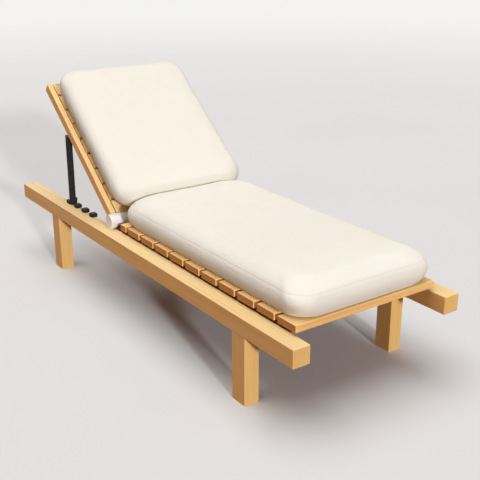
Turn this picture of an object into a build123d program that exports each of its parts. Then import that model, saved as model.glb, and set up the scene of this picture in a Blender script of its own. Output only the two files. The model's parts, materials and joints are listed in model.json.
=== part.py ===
from build123d import *
import math
import os

# Sun lounger: two long side rails on four legs carry a slatted deck. A slatted backrest
# turns on a white tube across the rails and leans on a steel prop, whose feet stand
# between the teeth of a rack on each rail. Two loose cushions lie on the slats.
#
# All lengths are in millimetres and all angles in degrees. The origin is on the floor
# in the middle of the footprint, +Y points to the head end and +Z up. The right side,
# for someone who lies on the lounger, is the -X side.

# Side rails
rail_length = 2000.0
rail_width = 63.0
rail_height = 62.0
frame_width = 680.0
wood_round = 2.5

# Legs
leg_height = 238.0
leg_width = 55.0
leg_depth = 70.0
leg_inset = 1.5
foot_leg_setback = 272.0
head_leg_setback = 345.0

# Seat deck
seat_slat_count = 11
seat_slat_overhang = 8.0
seat_slat_gap = 17.5
last_slat_trim = 45.0
seat_slat_thickness = 24.0
foot_slat_setback = 59.0
deck_rise = 12.0
slat_round = 2.0
slat_tube_gap = 40.0

# Cleats on the inner faces of the rails, and the two hidden cross rails
cleat_width = 28.0
cleat_height = 28.0
cleat_foot_setback = 60.0
cross_rail_thickness = 28.0
cross_rail_height = 44.0
hinge_cross_rail_setback = 110.0

# Dowels and screws
dowel_radius = 6.0
dowel_length = 60.0
leg_dowel_spacing = 36.0
cross_dowel_spacing = 22.0
screw_radius = 2.0
screw_head_radius = 4.2
screw_head_height = 3.0
frame_screw_length = 40.0
back_screw_length = 30.0
bore_clearance = 0.1
hole_end_clearance = 0.5

# Hinge across the rails
hinge_setback = 791.0
tube_radius = 28.5
tube_wall = 4.5
tube_rail_clearance = 1.0
end_block_seat = 24.0
end_block_thickness = 14.0
end_block_cap = 4.0
end_block_pad_width = 20.0
end_block_bolt_radius = 4.0
end_block_bolt_head_radius = 7.0
end_block_bolt_head_height = 6.0
end_block_bolt_grip = 14.0
end_block_edge_round = 1.5
axle_radius = 8.0
bush_length = 30.0
running_clearance = 0.1
side_clearance = 0.5

# Backrest
back_angle = 38.6
back_length = 709.5
stile_width = 40.0
stile_depth = 37.0
stile_lip = 21.0
back_slat_thickness = 20.0
back_slat_width = 70.0
back_slat_gap = 9.4
top_slat_width = 61.0
regular_back_slats = 7
back_slat_end_clearance = 4.0
tongue_thickness = 6.0
tongue_height = 20.0
tongue_length = 70.0
joint_clearance = 0.2

# Rack teeth on the rails
tooth_count = 4
tooth_pitch = 73.7
tooth_length = 25.6
tooth_height = 15.0
tooth_edge = 1.0
tooth_setback = 395.0
tooth_spigot_radius = 4.0
tooth_spigot_length = 18.0

# Prop under the backrest
strut_width = 24.8
strut_thickness = 12.6
strut_overhang = 10.4
strut_edge_round = 1.2
strut_tooth_clearance = 5.1
strut_heel_clearance = 0.4
prop_angle = 91.1
prop_pivot_height = 22.5
prop_top_gap = 0.5
crossbar_radius = 6.0
prop_pin_radius = 4.0
prop_pin_depth = 18.5
prop_pin_head_radius = 6.5
prop_pin_head_height = 2.0
bracket_thickness = 4.0
bracket_length = 40.0
bracket_drop = 38.0
bracket_pad_height = 34.0
bracket_top_drop = 2.0
bracket_tab_radius = 7.0
bracket_screw_spacing = 22.0

# Cushions
seat_cushion_side_overhang = 4.0
seat_cushion_foot_overhang = 5.0
seat_cushion_hinge_setback = 67.5
seat_cushion_thickness = 111.0
seat_cushion_corner_radius = 69.0
seat_cushion_top_reach = 60.0
seat_cushion_bottom_reach = 45.0
seat_cushion_waist_share = 0.42
back_cushion_side_overhang = 4.5
back_cushion_shift = 14.0
back_cushion_start = 2.0
back_cushion_top_setback = 22.0
back_cushion_thickness = 124.0
back_cushion_corner_radius = 74.0
back_cushion_top_reach = 40.0
back_cushion_bottom_reach = 44.0
back_cushion_waist_share = 0.68
cushion_crown = 8.0
cushion_lift = 0.3
cushion_corner_share = 0.9
cushion_lower_steps = 5
cushion_upper_steps = 8
cushion_dome_steps = 5
cushion_dome_end_share = 0.85

# Places that follow from the sizes above
foot_end = -rail_length / 2
head_end = rail_length / 2
rail_top = leg_height + rail_height
rail_outer = frame_width / 2
rail_inner = rail_outer - rail_width
seat_slat_length = 2 * (rail_inner + seat_slat_overhang)
deck_bottom = rail_top + deck_rise
deck_top = deck_bottom + seat_slat_thickness
hinge_y = head_end - hinge_setback
hinge_z = rail_top + tube_rail_clearance + tube_radius
first_slat_foot = foot_end + foot_slat_setback
deck_head = hinge_y - tube_radius - slat_tube_gap
seat_slat_pitch = (deck_head - first_slat_foot + seat_slat_gap + last_slat_trim) / seat_slat_count
seat_slat_width = seat_slat_pitch - seat_slat_gap
cleat_foot = first_slat_foot + cleat_foot_setback
cleat_head = hinge_y
cleat_bottom = deck_bottom - cleat_height
foot_leg_y = foot_end + foot_leg_setback
head_leg_y = head_end - head_leg_setback
leg_centre_x = rail_outer - leg_inset - leg_width / 2
cross_rail_ys = (foot_leg_y, hinge_y - hinge_cross_rail_setback)
cross_rail_z = cleat_bottom - cross_rail_height / 2
block_outer = rail_inner + end_block_seat
block_inner = block_outer - end_block_thickness
tube_half_length = block_inner - side_clearance
tube_bore_radius = tube_radius - tube_wall
stile_outer = tube_half_length - side_clearance
stile_inner = stile_outer - stile_width
rebate_edge = stile_outer - stile_lip
back_slat_floor = stile_depth / 2 - back_slat_thickness
lowest_slat_start = tube_radius / 2
strut_outer = stile_outer + strut_overhang
strut_inner = strut_outer - strut_width
first_tooth_y = head_end - tooth_setback
pivot_y = first_tooth_y - tooth_length / 2 - strut_tooth_clearance - strut_thickness / 2
pivot_z = rail_top + prop_pivot_height
strut_reach = (
    (pivot_y - hinge_y) * math.sin(math.radians(back_angle))
    - (pivot_z - hinge_z) * math.cos(math.radians(back_angle))
    - (stile_depth / 2 + prop_top_gap)
) / math.sin(math.radians(prop_angle - back_angle))
crossbar_reach = strut_reach - strut_thickness / 2 / math.sin(math.radians(prop_angle - back_angle))
back_frame = Location((0, hinge_y, hinge_z), (back_angle, 0, 0))
prop_frame = Location((0, pivot_y, pivot_z), (prop_angle, 0, 0))
sides = (("right", -1), ("left", 1))


def save(name, pieces):
    """Writes one node: a single solid, or a group of like solids."""
    shape = Compound(children=pieces) if isinstance(pieces, list) else pieces
    export_step(shape, os.path.join("parts", name + ".step"))


def block(x0, x1, y0, y1, z0, z1):
    """A block between two corners, given in any order."""
    centre = Pos((x0 + x1) / 2, (y0 + y1) / 2, (z0 + z1) / 2)
    return centre * Box(abs(x1 - x0), abs(y1 - y0), abs(z1 - z0))


def rod(start, end, radius):
    """A round bar from one point to another."""
    start = Vector(*start)
    end = Vector(*end)
    plane = Plane(origin=start, z_dir=end - start)
    return extrude(plane * Circle(radius), (end - start).length)


def rounded(piece, radius):
    return fillet(piece.edges(), radius)


def screw(head, tip, grow=0):
    """A countersunk screw from the centre of its head to its tip, or the hole for it."""
    head = Vector(*head)
    tip = Vector(*tip)
    direction = (tip - head).normalized()
    shank = rod(head, tip + direction * grow, screw_radius + grow)
    top = Plane(origin=head, z_dir=direction)
    countersink = loft([
        top * Circle(screw_head_radius + grow),
        top.offset(screw_head_height) * Circle(screw_radius + grow),
    ])
    return shank + countersink


def bored(piece, holes):
    """Cuts the holes of the screws or dowels that enter a piece."""
    for hole in holes:
        piece -= hole
    return piece


# Fastener places: each entry is a pair of points
def seat_slat_edges(index):
    foot = first_slat_foot + seat_slat_pitch * index
    return foot, min(foot + seat_slat_width, deck_head)


def seat_slat_screw_places(index, side):
    foot, head = seat_slat_edges(index)
    x = side * (rail_inner - cleat_width / 2)
    y = (max(foot, cleat_foot) + min(head, cleat_head)) / 2
    return (x, y, cleat_bottom), (x, y, cleat_bottom + frame_screw_length)


def cleat_screw_places(side):
    places = []
    for index in range(1, seat_slat_count, 2):
        y = first_slat_foot + seat_slat_pitch * index - (seat_slat_pitch - seat_slat_width) / 2
        head = (side * (rail_inner - cleat_width), y, cleat_bottom + cleat_height / 2)
        tip = (side * (rail_inner - cleat_width + frame_screw_length), y, head[2])
        places.append((head, tip))
    return places


def bracket_screw_places(side):
    places = []
    for offset in (-bracket_screw_spacing / 2, bracket_screw_spacing / 2):
        head = (
            side * (strut_inner - side_clearance - bracket_thickness),
            pivot_y + offset,
            rail_top - bracket_drop + bracket_pad_height / 2,
        )
        tip = (head[0] + side * frame_screw_length, head[1], head[2])
        places.append((head, tip))
    return places


def leg_dowel_places(y, side):
    x = side * leg_centre_x
    return [
        ((x, y + offset, leg_height - dowel_length / 2), (x, y + offset, leg_height + dowel_length / 2))
        for offset in (-leg_dowel_spacing / 2, leg_dowel_spacing / 2)
    ]


def cross_dowel_places(y, side):
    return [
        (
            (side * (rail_inner - dowel_length / 2), y, cross_rail_z + offset),
            (side * (rail_inner + dowel_length / 2), y, cross_rail_z + offset),
        )
        for offset in (-cross_dowel_spacing / 2, cross_dowel_spacing / 2)
    ]


def dowel_hole(place):
    """The bore for a dowel, a little wider and longer than the dowel."""
    start = Vector(*place[0])
    end = Vector(*place[1])
    direction = (end - start).normalized() * hole_end_clearance
    return rod(start - direction, end + direction, dowel_radius + bore_clearance)


def side_dowel_places(side):
    places = []
    for y in (foot_leg_y, head_leg_y):
        places += leg_dowel_places(y, side)
    for y in cross_rail_ys:
        places += cross_dowel_places(y, side)
    return places


# Side rails, with the bores for dowels, screws, rack teeth and end block bolts
def end_block_bolt(side, grow=0):
    x = side * (block_inner + block_outer) / 2
    head_face = leg_height + end_block_bolt_head_height
    head = rod((x, hinge_y, leg_height), (x, hinge_y, head_face), end_block_bolt_head_radius + grow)
    tip = rail_top + end_block_bolt_grip + grow
    return head + rod((x, hinge_y, leg_height), (x, hinge_y, tip), end_block_bolt_radius + grow)


def tooth_y(index):
    return first_tooth_y - tooth_pitch * index


def tooth_spigot(index, side, grow=0):
    x = side * (strut_inner + strut_outer) / 2
    bottom = rail_top - tooth_spigot_length - grow
    return rod((x, tooth_y(index), bottom), (x, tooth_y(index), rail_top), tooth_spigot_radius + grow)


def side_rail(side):
    rail = block(side * rail_inner, side * rail_outer, foot_end, head_end, leg_height, rail_top)
    rail = rounded(rail, wood_round)
    rail = bored(rail, [dowel_hole(place) for place in side_dowel_places(side)])
    rail = bored(rail, [screw(*place, bore_clearance) for place in cleat_screw_places(side)])
    rail = bored(rail, [screw(*place, bore_clearance) for place in bracket_screw_places(side)])
    rail = bored(rail, [tooth_spigot(index, side, bore_clearance) for index in range(tooth_count)])
    return rail - end_block_bolt(side, bore_clearance)


def leg(y, side):
    post = block(
        side * (leg_centre_x - leg_width / 2),
        side * (leg_centre_x + leg_width / 2),
        y - leg_depth / 2,
        y + leg_depth / 2,
        0,
        leg_height,
    )
    post = fillet(post.edges().filter_by(Axis.Z), wood_round)
    return bored(post, [dowel_hole(place) for place in leg_dowel_places(y, side)])


# Seat deck
def deck_cleat(side):
    """Runs under the slats as far as the tube, and is hollowed to clear it."""
    cleat = block(
        side * (rail_inner - cleat_width),
        side * rail_inner,
        cleat_foot,
        cleat_head,
        cleat_bottom,
        deck_bottom,
    )
    cleat -= rod(
        (side * (rail_inner - cleat_width), hinge_y, hinge_z),
        (side * rail_inner, hinge_y, hinge_z),
        tube_radius + tube_rail_clearance,
    )
    cleat = bored(
        cleat,
        [screw(*seat_slat_screw_places(index, side), bore_clearance) for index in range(seat_slat_count)],
    )
    return bored(cleat, [screw(*place, bore_clearance) for place in cleat_screw_places(side)])


def cross_rail(y):
    rail = block(
        -rail_inner,
        rail_inner,
        y - cross_rail_thickness / 2,
        y + cross_rail_thickness / 2,
        cleat_bottom - cross_rail_height,
        cleat_bottom,
    )
    for _, side in sides:
        rail = bored(rail, [dowel_hole(place) for place in cross_dowel_places(y, side)])
    return rail


def seat_slat(index):
    foot, head = seat_slat_edges(index)
    slat = block(-seat_slat_length / 2, seat_slat_length / 2, foot, head, deck_bottom, deck_top)
    slat = rounded(slat, slat_round)
    return bored(slat, [screw(*seat_slat_screw_places(index, side), bore_clearance) for _, side in sides])


# Hinge: a fixed axle between two end blocks, and the white tube that turns on it
def end_block(side):
    disc = rod((side * block_inner, hinge_y, hinge_z), (side * block_outer, hinge_y, hinge_z), tube_radius)
    rim = disc.edges().filter_by(GeomType.CIRCLE).sort_by(lambda edge: abs(edge.center().X))[-1]
    disc = fillet(rim, end_block_edge_round)
    pad = block(
        side * block_inner,
        side * (block_outer - end_block_edge_round),
        hinge_y - end_block_pad_width / 2,
        hinge_y + end_block_pad_width / 2,
        rail_top,
        hinge_z,
    )
    bore = rod(
        (side * block_inner, hinge_y, hinge_z),
        (side * (block_outer - end_block_cap), hinge_y, hinge_z),
        axle_radius + bore_clearance,
    )
    return disc + pad - bore - end_block_bolt(side, bore_clearance)


def hinge_axle():
    half = block_outer - end_block_cap - hole_end_clearance
    return rod((-half, hinge_y, hinge_z), (half, hinge_y, hinge_z), axle_radius)


def tongue(side, grow=0):
    """The flat tongue on the tube that holds a stile, in the backrest's own frame."""
    centre = stile_outer - stile_lip / 2
    return block(
        side * (centre - tongue_thickness / 2 - grow),
        side * (centre + tongue_thickness / 2 + grow),
        tube_bore_radius + tube_wall / 2,
        tube_radius + tongue_length + grow,
        -tongue_height / 2 - grow,
        tongue_height / 2 + grow,
    )


def hinge_tube():
    tube = rod((-tube_half_length, 0, 0), (tube_half_length, 0, 0), tube_radius)
    tube -= rod((-tube_half_length, 0, 0), (tube_half_length, 0, 0), tube_bore_radius)
    for _, side in sides:
        tube += tongue(side)
    return tube


def hinge_bush(side):
    outer_end = side * tube_half_length
    inner_end = side * (tube_half_length - bush_length)
    bush = rod((inner_end, 0, 0), (outer_end, 0, 0), tube_bore_radius - bore_clearance)
    return bush - rod((inner_end, 0, 0), (outer_end, 0, 0), axle_radius + running_clearance)


# Backrest pieces, made in a frame with +Y up along the back and +Z out of its front face
def back_slat_edges():
    """The lower and upper edge of each back slat, from the hinge up."""
    edges = [(back_length - top_slat_width, back_length)]
    for _ in range(regular_back_slats):
        upper = edges[-1][0] - back_slat_gap
        edges.append((upper - back_slat_width, upper))
    edges.append((lowest_slat_start, edges[-1][0] - back_slat_gap))
    return edges[::-1]


def back_screw_places(edges, side):
    x = side * (stile_inner + rebate_edge) / 2
    y = (edges[0] + edges[1]) / 2
    bottom = -stile_depth / 2
    return (x, y, bottom), (x, y, bottom + back_screw_length)


def back_stile(side):
    stile = block(side * stile_inner, side * stile_outer, 0, back_length, -stile_depth / 2, stile_depth / 2)
    stile = fillet(stile.edges().filter_by(Axis.Y), wood_round)
    stile -= block(
        side * (stile_inner - side_clearance),
        side * rebate_edge,
        -tube_radius,
        back_length + side_clearance,
        back_slat_floor,
        stile_depth,
    )
    stile -= rod(
        (side * (stile_inner - side_clearance), 0, 0),
        (side * (stile_outer + side_clearance), 0, 0),
        tube_radius + joint_clearance,
    )
    stile -= tongue(side, joint_clearance)
    stile = stile.solids().sort_by(lambda solid: solid.volume)[-1]
    places = [back_screw_places(edges, side) for edges in back_slat_edges()]
    return bored(stile, [screw(*place, bore_clearance) for place in places])


def back_slat(edges):
    """A back slat. The lowest one is hollowed round the tube."""
    half = rebate_edge - back_slat_end_clearance
    slat = block(-half, half, edges[0], edges[1], back_slat_floor, stile_depth / 2)
    slat = rounded(slat, slat_round)
    slat -= rod((-half, 0, 0), (half, 0, 0), tube_radius + 2 * side_clearance)
    return bored(slat, [screw(*back_screw_places(edges, side), bore_clearance) for _, side in sides])


# Rack teeth and prop
def rack_tooth(index, side):
    tooth = block(
        side * strut_inner,
        side * strut_outer,
        tooth_y(index) - tooth_length / 2,
        tooth_y(index) + tooth_length / 2,
        rail_top,
        rail_top + tooth_height,
    )
    tooth = chamfer(tooth.faces().sort_by(Axis.Z)[-1].edges(), tooth_edge)
    return tooth + tooth_spigot(index, side)


def prop_strut(side):
    """Made in the prop's own frame, with its pivot at the origin and +Y towards its tip.

    The heel is round, and the top is cut parallel to the underside of the stile.
    """
    heel_radius = prop_pivot_height - strut_heel_clearance
    half = strut_thickness / 2
    tip = strut_reach + strut_width
    bar = block(side * strut_inner, side * strut_outer, -heel_radius, tip, -half, half)
    bar &= rod((side * strut_inner, 0, 0), (side * strut_outer, 0, 0), heel_radius) + block(
        side * strut_inner, side * strut_outer, 0, tip, -half, half
    )
    bar = fillet(bar.edges().filter_by(Axis.Y), strut_edge_round)
    stile_frame = Location((0, strut_reach, 0), (back_angle - prop_angle, 0, 0))
    bar -= stile_frame * block(side * strut_inner, side * strut_outer, -tip, tip, 0, strut_reach)
    hole_end = side * (strut_inner + prop_pin_depth + hole_end_clearance)
    return bar - rod((side * strut_inner, 0, 0), (hole_end, 0, 0), prop_pin_radius + running_clearance)


def prop_crossbar():
    return rod((-strut_inner, crossbar_reach, 0), (strut_inner, crossbar_reach, 0), crossbar_radius)


def prop_pin(side):
    inner = strut_inner - side_clearance - bracket_thickness
    head = rod(
        (side * (inner - prop_pin_head_height), pivot_y, pivot_z),
        (side * inner, pivot_y, pivot_z),
        prop_pin_head_radius,
    )
    return head + rod(
        (side * inner, pivot_y, pivot_z),
        (side * (strut_inner + prop_pin_depth), pivot_y, pivot_z),
        prop_pin_radius,
    )


def prop_bracket(side):
    """A plate on the inner face of the rail, with a narrow tab up to the pin."""
    outer = strut_inner - side_clearance
    bottom = rail_top - bracket_drop
    plate = block(
        side * (outer - bracket_thickness),
        side * outer,
        pivot_y - bracket_length / 2,
        pivot_y + bracket_length / 2,
        bottom,
        rail_top - bracket_top_drop,
    )
    plate += block(
        side * (outer - bracket_thickness),
        side * outer,
        pivot_y - bracket_tab_radius,
        pivot_y + bracket_tab_radius,
        bottom,
        pivot_z,
    )
    plate += rod(
        (side * (outer - bracket_thickness), pivot_y, pivot_z),
        (side * outer, pivot_y, pivot_z),
        bracket_tab_radius,
    )
    pad = block(
        side * outer,
        side * rail_inner,
        pivot_y - bracket_length / 2,
        pivot_y + bracket_length / 2,
        bottom,
        bottom + bracket_pad_height,
    )
    hole = rod(
        (side * (outer - bracket_thickness), pivot_y, pivot_z),
        (side * outer, pivot_y, pivot_z),
        prop_pin_radius + bore_clearance,
    )
    return bored(plate + pad - hole, [screw(*place, bore_clearance) for place in bracket_screw_places(side)])


# Cushions: stacked rounded outlines, flat below, fullest at the waist and crowned on top
def cushion_outline(width, length, corner_radius, inset, height):
    narrow_half = min(width, length) / 2 - inset
    radius = min(corner_radius, cushion_corner_share * narrow_half)
    return Plane.XY.offset(height) * RectangleRounded(width - 2 * inset, length - 2 * inset, radius)


def cushion(width, length, thickness, corner_radius, top_reach, bottom_reach, waist):
    outlines = []
    for step in range(cushion_lower_steps, 0, -1):
        turn = math.radians(90 * step / cushion_lower_steps)
        inset = bottom_reach * (1 - math.cos(turn))
        height = waist * (1 - math.sin(turn))
        outlines.append(cushion_outline(width, length, corner_radius, inset, height))
    for step in range(cushion_upper_steps + 1):
        turn = math.radians(90 * step / cushion_upper_steps)
        inset = top_reach * (1 - math.cos(turn))
        height = waist + (thickness - waist) * math.sin(turn)
        outlines.append(cushion_outline(width, length, corner_radius, inset, height))
    dome_reach = min(width, length) / 2 - top_reach
    for step in range(1, cushion_dome_steps + 1):
        share = cushion_dome_end_share * step / cushion_dome_steps
        inset = top_reach + dome_reach * share
        height = thickness + cushion_crown * (1 - (1 - share) ** 2)
        outlines.append(cushion_outline(width, length, corner_radius, inset, height))
    return loft(outlines, ruled=True)


def seat_cushion():
    foot = first_slat_foot - seat_cushion_foot_overhang
    head = hinge_y - seat_cushion_hinge_setback
    centre = Pos(0, (foot + head) / 2, deck_top + cushion_lift)
    return centre * cushion(
        seat_slat_length + 2 * seat_cushion_side_overhang,
        head - foot,
        seat_cushion_thickness,
        seat_cushion_corner_radius,
        seat_cushion_top_reach,
        seat_cushion_bottom_reach,
        seat_cushion_thickness * seat_cushion_waist_share,
    )


def back_cushion():
    """Lies loose on the back slats, a little to the left of their middle."""
    length = back_length - back_cushion_top_setback - back_cushion_start
    centre = Pos(back_cushion_shift, back_cushion_start + length / 2, stile_depth / 2 + cushion_lift)
    return back_frame * centre * cushion(
        2 * (stile_outer + back_cushion_side_overhang),
        length,
        back_cushion_thickness,
        back_cushion_corner_radius,
        back_cushion_top_reach,
        back_cushion_bottom_reach,
        back_cushion_thickness * back_cushion_waist_share,
    )


# Write every node
os.makedirs("parts", exist_ok=True)
dowels = []
frame_screws = []
back_screws = []
for side_name, side in sides:
    save(side_name + "_side_rail", side_rail(side))
    save("foot_leg_" + side_name, leg(foot_leg_y, side))
    save("head_leg_" + side_name, leg(head_leg_y, side))
    save(side_name + "_deck_cleat", deck_cleat(side))
    save("hinge_end_block_" + side_name, end_block(side))
    save("hinge_bush_" + side_name, back_frame * hinge_bush(side))
    save("back_stile_" + side_name, back_frame * back_stile(side))
    save("prop_strut_" + side_name, prop_frame * prop_strut(side))
    save("prop_bracket_" + side_name, prop_bracket(side))
    for index in range(tooth_count):
        save("rack_tooth_" + side_name + "_" + str(index + 1), rack_tooth(index, side))
    dowels += [rod(*place, dowel_radius) for place in side_dowel_places(side)]
    frame_screws += [screw(*seat_slat_screw_places(index, side)) for index in range(seat_slat_count)]
    frame_screws += [screw(*place) for place in cleat_screw_places(side) + bracket_screw_places(side)]
    back_screws += [back_frame * screw(*back_screw_places(edges, side)) for edges in back_slat_edges()]

save("foot_cross_rail", cross_rail(cross_rail_ys[0]))
save("hinge_cross_rail", cross_rail(cross_rail_ys[1]))
for index in range(seat_slat_count):
    save("seat_slat_" + str(index + 1).zfill(2), seat_slat(index))
for number, edges in enumerate(back_slat_edges(), 1):
    save("back_slat_" + str(number), back_frame * back_slat(edges))
save("hinge_axle", hinge_axle())
save("hinge_tube", back_frame * hinge_tube())
save("prop_crossbar", prop_frame * prop_crossbar())
save("prop_pins", [prop_pin(side) for _, side in sides])
save("end_block_bolts", [end_block_bolt(side) for _, side in sides])
save("frame_dowels", dowels)
save("frame_screws", frame_screws)
save("back_slat_screws", back_screws)
save("seat_cushion", seat_cushion())
save("back_cushion", back_cushion())
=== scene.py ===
import json
import math

import bmesh
import bpy
import numpy as np
from mathutils import Matrix, Vector, noise
from mathutils.bvhtree import BVHTree


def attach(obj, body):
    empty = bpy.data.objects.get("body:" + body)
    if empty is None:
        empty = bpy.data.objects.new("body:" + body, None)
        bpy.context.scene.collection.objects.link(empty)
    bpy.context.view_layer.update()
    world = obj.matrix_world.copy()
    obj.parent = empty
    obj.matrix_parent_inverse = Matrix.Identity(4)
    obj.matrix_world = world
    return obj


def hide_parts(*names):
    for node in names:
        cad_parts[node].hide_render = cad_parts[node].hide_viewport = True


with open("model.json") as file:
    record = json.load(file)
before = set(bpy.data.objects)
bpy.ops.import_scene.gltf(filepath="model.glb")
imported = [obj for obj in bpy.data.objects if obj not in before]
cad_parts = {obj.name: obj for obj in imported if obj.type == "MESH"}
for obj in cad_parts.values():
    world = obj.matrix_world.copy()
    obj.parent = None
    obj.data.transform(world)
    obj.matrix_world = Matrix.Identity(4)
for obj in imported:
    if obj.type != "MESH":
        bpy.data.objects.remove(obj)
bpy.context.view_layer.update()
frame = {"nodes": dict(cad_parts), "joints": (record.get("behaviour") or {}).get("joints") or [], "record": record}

# Sizes are in metres, angles in radians and the scales of noise per metre, in the frame of the
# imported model. A span is the pair of values between which something fades from none to all.
MM = 0.001
BACK_ANGLE = math.radians(38.6)
HINGE = Vector(next(j["pos_m"] for j in frame["joints"] if j["name"] == "back_recline"))

# The camera stands where the photograph was taken from
CAMERA_PLACE = Vector((-1.65058, -2.61944, 1.40272))
CAMERA_YAW = 0.60964
CAMERA_PITCH = 0.35632
CAMERA_ROLL = math.radians(-0.196)
CAMERA_FOCAL_PIXELS = 837.63
PHOTO_PIXELS = 480
SENSOR_MILLIMETRES = 36.0
CAMERA_CLIP_END = 200.0

# Lights: the direction that each comes from, and the brightness that it gives a face turned to it
KEY_DIRECTION = Vector((-0.10, -0.50, 0.125))
KEY_LEVEL = 0.61
KEY_SPREAD = math.radians(4)
KEY_COLOUR = (1.0, 1.02, 1.06)
OVERHEAD_DIRECTION = Vector((-0.14, 0.08, 1.0))
OVERHEAD_LEVEL = 0.73
OVERHEAD_SPREAD = math.radians(60)
OVERHEAD_COLOUR = (0.99, 1.0, 1.02)
AMBIENT_LEVEL = 0.145
AMBIENT_COLOUR = (1.0, 0.78, 0.66)
BACKGROUND_COLOUR = (0.90, 0.895, 0.885)

# Floor: pale as it is seen, and a warm dim bounce for the object that stands on it
FLOOR_COLOUR = (0.765, 0.76, 0.75)
FLOOR_SHADE = 0.985
FLOOR_BOUNCE = (0.16, 0.075, 0.04)
FLOOR_SIZE = 120.0
FLOOR_FADE_START = 3.5
FLOOR_FADE_END = 12.0
FLOOR_CLOUD_SCALE = 0.8
FLOOR_ROUGHNESS = 0.9
FLOOR_SPECULAR = 0.1

# Cushions: the body that each rides on and how it is turned about X, the corner radius seen from
# above, how far the bottom and top edges draw in, the share of that at the head end, the heights
# of the widest line and of the upper seam as shares of the thickness, the tone of the cover, lowered
# as painted shade on the back cushion, which faces the lights more, how far it lies inside the CAD
# piece on its right side and at its foot end, and the filter of painted shade over its flanks near
# the bottom
CUSHIONS = {
    "seat_cushion": {
        "body": "root",
        "turn": 0.0,
        "corner": 74 * MM,
        "top_reach": 80 * MM,
        "bottom_reach": 30 * MM,
        "head_share": 0.6,
        "waist_share": 0.43,
        "seam_share": 0.69,
        "painted_shade_tone": 1.0,
        "inside": (9 * MM, 1 * MM),
        # Painted shade low on the flanks
        "low_shade_filter": (0.80, 0.76, 0.69),
    },
    "back_cushion": {
        "body": "backrest",
        "turn": BACK_ANGLE,
        "corner": 74 * MM,
        "top_reach": 40 * MM,
        "bottom_reach": 60 * MM,
        "head_share": 1.0,
        "waist_share": 0.68,
        "seam_share": 0.69,
        # Painted shade: lowered, as this cover faces the lights more
        "painted_shade_tone": 0.89,
        "inside": (0.0, 0.0),
        "low_shade_filter": (1.0, 1.0, 1.0),
    },
}

# Form of the covers: the height of the crown, and how far towards its middle the rings go. How
# much the corners open as the cover draws in, and the roundest they may be. The numbers of rings
# below and above the widest line and over the crown.
CROWN = 8 * MM
CROWN_REACH = 0.95
CORNER_OPENING = 0.5
CORNER_LIMIT = 0.9
LOW_STEPS = 10
HIGH_STEPS = 14
CROWN_STEPS = 8

# Steps round a corner and along a side of an outline: for the cover, and finer for its seams
COVER_STEPS = (14, 36)
SEAM_STEPS = (40, 200)

# Swelling: the grid that the form is remeshed on, the room left for the cloth, how far it may go,
# and how much of its small wrinkles stays when the rest is evened. The cover is held fast where it
# rests, and lightly within reach of the seam. The lowest points, by percent, are its bottom.
VOXEL = 6 * MM
SWELL_START = 5 * MM
SWELL_LIMIT = 6.5 * MM
LEAST_MOVE = SWELL_LIMIT / 100
WRINKLE_SHARE = 0.2
EVENING_ROUNDS = 80
HELD_HEIGHT = 0.5 * VOXEL
SEAM_HOLD_SHARE = 0.2
SEAM_HOLD_REACH = 1.2 * VOXEL
LEAST_WEIGHT = 0.01
BOTTOM_PERCENT = 20
CLOTH_FRAMES = 20
CLOTH_SETTINGS = {
    "quality": 6,
    "mass": 0.25,
    "tension_stiffness": 12,
    "compression_stiffness": 12,
    "shear_stiffness": 6,
    "bending_stiffness": 1.5,
    "use_pressure": True,
    "uniform_pressure_force": 4.0,
}

# Hollows and ripples all over the covers, and puckers near the seams, deeper towards the corners
HOLLOW_DEPTH = 0.8 * MM
HOLLOW_SCALE = 9.0
RIPPLE_DEPTH = 0.3 * MM
RIPPLE_SCALE = 24.0
PUCKER_DEPTH = 0.4 * MM
PUCKER_SCALE = 42.0
PUCKER_REACH = 16 * MM
PUCKER_UPRIGHT_SHARE = 0.2
CORNER_PUCKER_DEPTH = 0.7 * MM
CORNER_PUCKER_REACH = 160 * MM
GROOVE_DEPTH = 0.8 * MM
GROOVE_REACH = 5 * MM
RESTING_HEIGHT = 0.5 * MM

# Lines that seams follow: points on the cover found with rays from outside, evened and smoothed.
# The tiny length stands in for a step of no length.
RAY_START = 20 * MM
RING_SPACING = 3 * MM
RING_SMOOTHING_POINTS = 3
RING_SMOOTHING_SHARE = 0.7
TINY = 1e-9

# Seams: a raised band with a fold along each edge, its heights there as shares of its rise
BOTTOM_SEAM_HEIGHT = 4 * MM
SEAM_BAND = 5.5 * MM
SEAM_RISE = 0.6 * MM
SEAM_SINK = 0.8 * MM
SEAM_FOLD = 1.2 * MM
SEAM_EDGE_SHARE = 0.55
SEAM_INNER_SHARE = 0.7
SEAM_MIDDLE_SHARE = 0.85

# Stitches: the profile gives the place along the stitch and the girth there as shares of its
# length and radius, and how deep it sinks
STITCH_PITCH = 5.0 * MM
STITCH_LENGTH = 3.4 * MM
STITCH_RADIUS = 0.4 * MM
STITCH_HEIGHT = 0.75 * SEAM_RISE
STITCH_SIDES = 6
STITCH_PROFILE = ((-0.5, 0.35, 0.3 * MM), (-0.25, 1.0, 0.0), (0.25, 1.0, 0.0), (0.5, 0.35, 0.3 * MM))

# Piping: a cord whose middle stands out of the cover by a share of its radius
PIPING_RADIUS = 1.3 * MM
PIPING_PROUD_SHARE = 0.55
PIPING_SIDES = 10


def new_object(name, data):
    """An object in the scene that shows the data."""
    made = bpy.data.objects.new(name, data)
    bpy.context.scene.collection.objects.link(made)
    return made


# Node trees
def feed(tree, made, inputs):
    """Links the sockets of a node to other sockets, or sets them to values."""
    for key, value in inputs.items():
        socket = made.inputs[key]
        if isinstance(value, bpy.types.NodeSocket):
            tree.links.new(value, socket)
        else:
            socket.default_value = value


def add(tree, kind, inputs=None, **settings):
    """Adds a shader node, with its sockets linked to other sockets or set to values."""
    made = tree.nodes.new("ShaderNode" + kind)
    for key, value in settings.items():
        setattr(made, key, value)
    feed(tree, made, inputs or {})
    return made


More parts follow.
